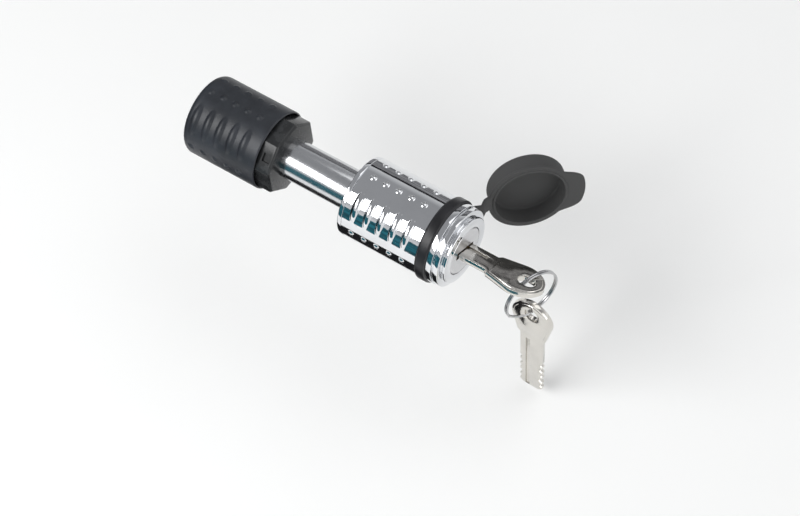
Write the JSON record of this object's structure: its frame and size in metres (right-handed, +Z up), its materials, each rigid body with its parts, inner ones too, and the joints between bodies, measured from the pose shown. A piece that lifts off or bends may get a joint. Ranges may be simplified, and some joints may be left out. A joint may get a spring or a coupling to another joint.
{
  "type": "trailer coupler lock",
  "caption": "Straight 5/8 inch coupler latch pin with a fixed rubber-sleeved head and a removable keyed chrome lock head with dust cap and keys.",
  "frame": {"origin": "on the pin's axis, in the middle of the exposed grip between the two heads", "axes": "+X along the pin from the fixed head to the keyed lock head, +Z up, +Y away from the side the grip ribs face"},
  "size_m": [0.1528, 0.0691, 0.0906],
  "materials": {
    "chrome": "polished, smooth",
    "blued_rubber": "satin moulded rubber, dark blue-grey",
    "cap_rubber": "satin moulded rubber, black",
    "black_collar": "gloss black coating on metal",
    "pin_steel": "polished plated steel",
    "key_nickel": "polished nickel plate, milled cuts",
    "ring_steel": "bright spring steel",
    "face_steel": "turned stainless steel",
    "cylinder_brass": "turned brass",
    "latch_steel": "hardened steel, ground",
    "carrier_alloy": "die-cast, matt",
    "spring_steel": "spring wire",
    "seal_rubber": "nitrile rubber"
  },
  "bodies": {
    "shackle": {"locking_pin": "pin_steel", "fixed_head": "black_collar", "head_cross_pin": "latch_steel", "grip_sleeve": "blued_rubber"},
    "seal_carrier": {"pin_seal": "seal_rubber"},
    "lock_head": {"lock_housing": "chrome", "rear_plate": "chrome", "latch_carrier": "carrier_alloy", "cap_band": "cap_rubber", "cylinder_shell": "cylinder_brass", "shell_retaining_pin": "latch_steel", "cylinder_o_ring": "seal_rubber", "bolt_springs": "spring_steel"},
    "plug": {"lock_plug": "cylinder_brass", "plug_face": "face_steel", "tumbler_wafers": "cylinder_brass", "wafer_springs": "spring_steel", "tail_cam": "latch_steel", "tail_clip": "spring_steel"},
    "bolt": {"locking_bolt": "latch_steel"},
    "key": {"working_key": "key_nickel"},
    "ring": {"key_ring": "ring_steel"},
    "spare": {"spare_key": "key_nickel"},
    "cap": {"dust_cap": "cap_rubber"}
  },
  "joints": [
    {"name": "head_slide", "type": "slide", "parent": "shackle", "child": "seal_carrier", "axis": [1, 0, 0], "range_m": [0, 0.08]},
    {"name": "head_spin", "type": "hinge", "parent": "seal_carrier", "child": "lock_head", "pos_m": [0.01585, 0, 0], "axis": [1, 0, 0], "continuous": true},
    {"name": "plug_turn", "type": "hinge", "parent": "lock_head", "child": "plug", "pos_m": [0.04585, 0, 0], "axis": [1, 0, 0], "range_deg": [-90, 0]},
    {"name": "bolt_slide", "type": "slide", "parent": "lock_head", "child": "bolt", "axis": [0, 0, 1], "range_m": [0, 0.0024], "deforming": ["bolt_springs"]},
    {"name": "key_pull", "type": "slide", "parent": "plug", "child": "key", "axis": [1, 0, 0], "range_m": [0, 0.026]},
    {"name": "cap_hinge", "type": "hinge", "parent": "lock_head", "child": "cap", "pos_m": [0.05635, 0.01892, -0.0043], "axis": [0, 0.2215, 0.9751], "range_deg": [-50, 40], "stiffness_Nm_per_rad": 0.01},
    {"name": "ring_swing", "type": "hinge", "parent": "key", "child": "ring", "pos_m": [0.08953, 0.00566, -0.00306], "axis": [0.3202, 0.8333, -0.4506], "range_deg": [-6, 6]},
    {"name": "spare_swing", "type": "hinge", "parent": "ring", "child": "spare", "pos_m": [0.0886, 0.00184, -0.02201], "axis": [0.3473, 0.9378, 0], "range_deg": [-20, 20]}
  ],
  "couplings": [
    {"joint": "bolt_slide", "follows": "plug_turn", "m_per_rad": -0.0015279}
  ]
}
